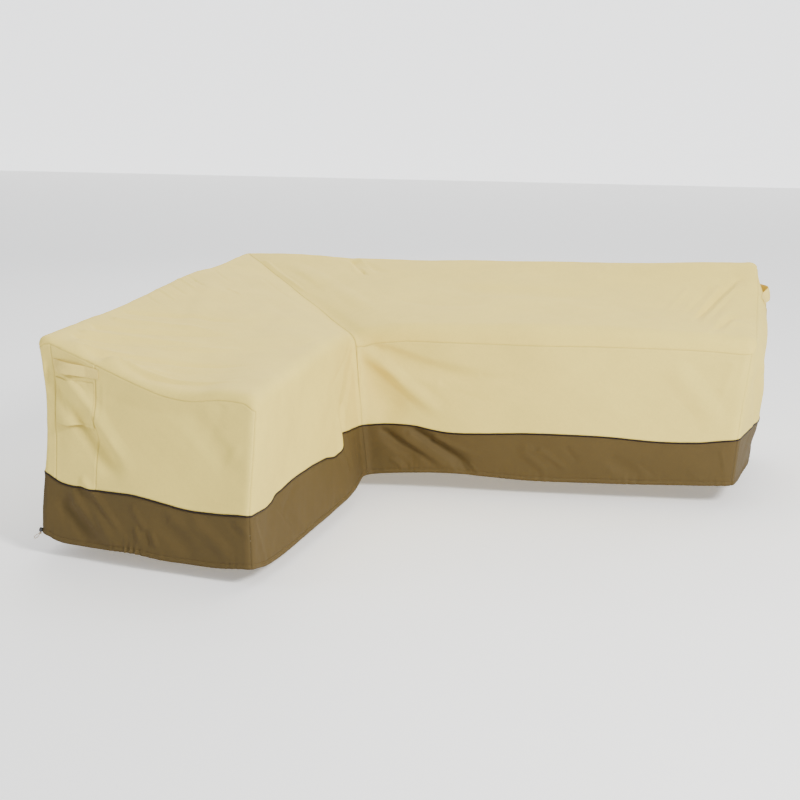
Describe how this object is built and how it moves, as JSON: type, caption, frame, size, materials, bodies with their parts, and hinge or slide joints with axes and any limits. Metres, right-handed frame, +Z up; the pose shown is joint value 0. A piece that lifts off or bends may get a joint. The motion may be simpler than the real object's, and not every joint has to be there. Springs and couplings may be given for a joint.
{
  "type": "outdoor sofa cover",
  "caption": "Fitted L-shaped outdoor sofa cover: beige top and sides, brown skirt, dark piping, handles, air vents and a drawcord hem.",
  "frame": {"origin": "on the underside of the long top, where the sofa that it covers holds it up", "axes": "+X along the back of the long wing, away from the outer back corner; +Y to the back; +Z up"},
  "size_m": [2.7452, 2.1793, 0.8323],
  "materials": {
    "beige_cloth": "coated polyester, plain weave, matt with a faint sheen",
    "beige_webbing": "padded strip of the same cloth, edge stitched",
    "brown_cloth": "coated polyester, plain weave, matt",
    "dark_piping": "corded piping, satin",
    "tan_cord": "braided polyester cord",
    "black_plastic": "moulded, satin"
  },
  "bodies": {
    "root": {"top_long": "beige_cloth", "top_short": "beige_cloth", "panel_outer_short": "beige_cloth", "panel_end_left": "beige_cloth", "panel_long_front": "beige_cloth", "panel_end_right": "beige_cloth", "panel_long_back": "beige_cloth", "strip_left": "beige_cloth", "strip_right": "beige_cloth", "air_vent_left": "beige_cloth", "air_vent_right": "beige_cloth", "handle_left": "beige_webbing", "handle_right": "beige_webbing", "skirt_outer_short": "brown_cloth", "skirt_left_end": "brown_cloth", "skirt_inner_short": "brown_cloth", "skirt_long_front": "brown_cloth", "skirt_right_end": "brown_cloth", "skirt_long_back": "brown_cloth", "piping": "dark_piping", "drawcord_loop": "tan_cord", "cord_knot": "tan_cord", "cord_lock": "black_plastic"}
  },
  "joints": []
}
